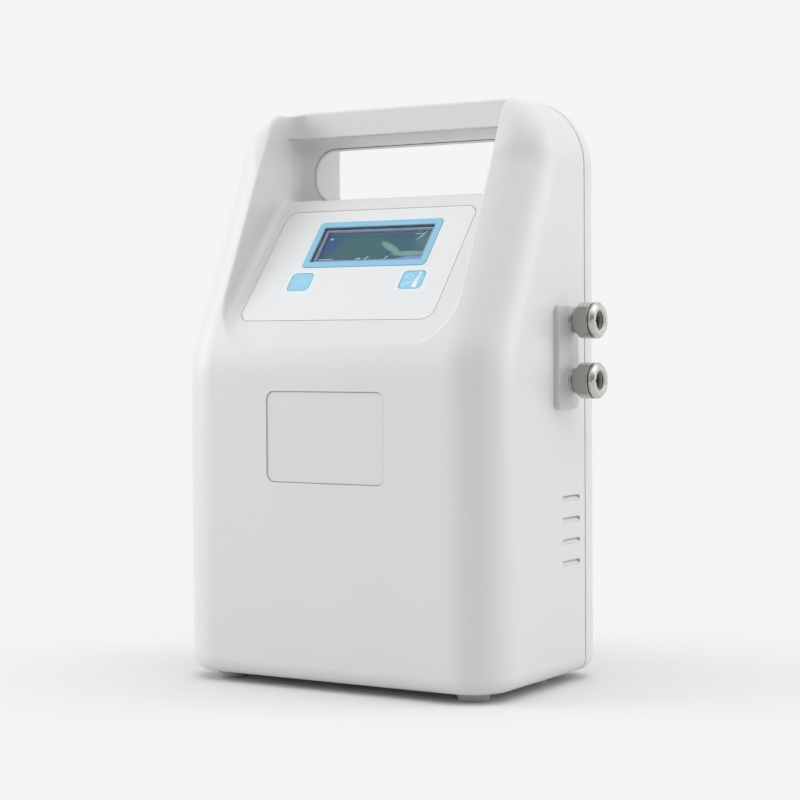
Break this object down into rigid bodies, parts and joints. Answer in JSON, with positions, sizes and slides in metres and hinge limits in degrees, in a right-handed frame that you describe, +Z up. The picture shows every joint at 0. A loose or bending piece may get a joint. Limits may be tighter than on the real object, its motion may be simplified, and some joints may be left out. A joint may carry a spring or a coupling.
{
  "type": "compression therapy pump",
  "caption": "Upright table-top air pump for compression sleeves with a through handle, a sloping panel with a display and press keys, hose couplings on its side and a rear power inlet.",
  "frame": {"origin": "middle of the bounding box in X and Y, at the surface that the feet stand on", "axes": "+Z up, the front with the panel faces -Y, the hose couplings are on the +X side"},
  "size_m": [0.1876, 0.109, 0.268],
  "materials": {
    "case_white": "glossy moulded ABS",
    "badge_white": "satin",
    "overlay_white": "satin film",
    "key_blue": "satin",
    "bezel_blue": "satin",
    "lens_clear": "polished",
    "display_glass": "polished",
    "chrome_metal": "plated",
    "brass_metal": "machined",
    "black_rubber": "matt",
    "grey_rubber": "matt",
    "screw_steel": "zinc plated",
    "sheet_steel": "zinc plated",
    "lamination_steel": "laminated",
    "cast_aluminium": "die cast",
    "copper_winding": "enamelled wire",
    "board_green": "solder mask",
    "component_black": "moulded",
    "inner_plastic": "moulded",
    "silicone_hose": "extruded silicone",
    "inlet_black": "moulded",
    "rocker_black": "moulded",
    "fuse_glass": "polished"
  },
  "bodies": {
    "housing": {"badge_plate": "badge_white", "board_screws": "screw_steel", "case_screws": "screw_steel", "chassis": "sheet_steel", "chassis_screws": "screw_steel", "control_overlay": "overlay_white", "coupling_body_lower": "chrome_metal", "coupling_body_upper": "chrome_metal", "diaphragm_left": "black_rubber", "diaphragm_right": "black_rubber", "display_bezel": "bezel_blue", "display_board": "board_green", "display_glass": "display_glass", "display_lens": "lens_clear", "display_module_frame": "sheet_steel", "display_screws": "screw_steel", "foot_front_left": "grey_rubber", "foot_front_right": "grey_rubber", "foot_rear_left": "grey_rubber", "foot_rear_right": "grey_rubber", "foot_screws": "screw_steel", "front_shell": "case_white", "handle_crown": "case_white", "inlet_housing": "inlet_black", "inlet_pins": "brass_metal", "inlet_screws": "screw_steel", "main_board": "board_green", "main_board_parts": "component_black", "manifold": "inner_plastic", "port_hoses": "silicone_hose", "port_nuts": "brass_metal", "port_plate": "case_white", "port_seals": "silicone_hose", "pump_coils": "copper_winding", "pump_cores": "lamination_steel", "pump_frame": "cast_aluminium", "pump_grommets": "black_rubber", "pump_head_left": "cast_aluminium", "pump_head_right": "cast_aluminium", "pump_hoses": "silicone_hose", "rear_cover": "case_white", "supply_board": "board_green", "supply_board_parts": "component_black", "switch_body_left": "component_black", "switch_body_right": "component_black", "valve_body_lower": "component_black", "valve_body_upper": "component_black"},
    "key_left_body": {"key_left": "key_blue", "switch_plunger_left": "inner_plastic"},
    "key_right_body": {"key_right": "key_blue", "switch_plunger_right": "inner_plastic"},
    "collar_upper_body": {"release_collar_upper": "chrome_metal"},
    "collar_lower_body": {"release_collar_lower": "chrome_metal"},
    "rocker_body": {"power_rocker": "rocker_black"},
    "drawer_body": {"fuse_drawer": "inlet_black", "fuses": "fuse_glass"},
    "armature_body": {"armature": "inner_plastic", "armature_magnets": "sheet_steel"},
    "plunger_upper_body": {"valve_plunger_upper": "sheet_steel"},
    "plunger_lower_body": {"valve_plunger_lower": "sheet_steel"}
  },
  "joints": [
    {"name": "key_left_press", "type": "slide", "parent": "housing", "child": "key_left_body", "axis": [0, 0.7711, -0.6367], "range_m": [0, 0.0006], "stiffness_N_per_m": 1000, "springref_m": -0.001},
    {"name": "key_right_press", "type": "slide", "parent": "housing", "child": "key_right_body", "axis": [0, 0.7711, -0.6367], "range_m": [0, 0.0006], "stiffness_N_per_m": 1000, "springref_m": -0.001},
    {"name": "collar_upper_release", "type": "slide", "parent": "housing", "child": "collar_upper_body", "axis": [-1, 0, 0], "range_m": [0, 0.0006], "stiffness_N_per_m": 1000, "springref_m": -0.001},
    {"name": "collar_lower_release", "type": "slide", "parent": "housing", "child": "collar_lower_body", "axis": [-1, 0, 0], "range_m": [0, 0.0006], "stiffness_N_per_m": 1000, "springref_m": -0.001},
    {"name": "power_rocker_throw", "type": "hinge", "parent": "housing", "child": "rocker_body", "pos_m": [-0.04675, 0.0488, 0.072], "axis": [1, 0, 0], "range_deg": [0, 14]},
    {"name": "fuse_drawer_pull", "type": "slide", "parent": "housing", "child": "drawer_body", "axis": [0, 1, 0], "range_m": [0, 0.016]},
    {"name": "armature_stroke", "type": "slide", "parent": "housing", "child": "armature_body", "axis": [1, 0, 0], "range_m": [-0.0015, 0.0015], "stiffness_N_per_m": 2500},
    {"name": "valve_upper_stroke", "type": "slide", "parent": "housing", "child": "plunger_upper_body", "axis": [-1, 0, 0], "range_m": [0, 0.0012], "stiffness_N_per_m": 400, "springref_m": -0.002},
    {"name": "valve_lower_stroke", "type": "slide", "parent": "housing", "child": "plunger_lower_body", "axis": [-1, 0, 0], "range_m": [0, 0.0012], "stiffness_N_per_m": 400, "springref_m": -0.002}
  ]
}
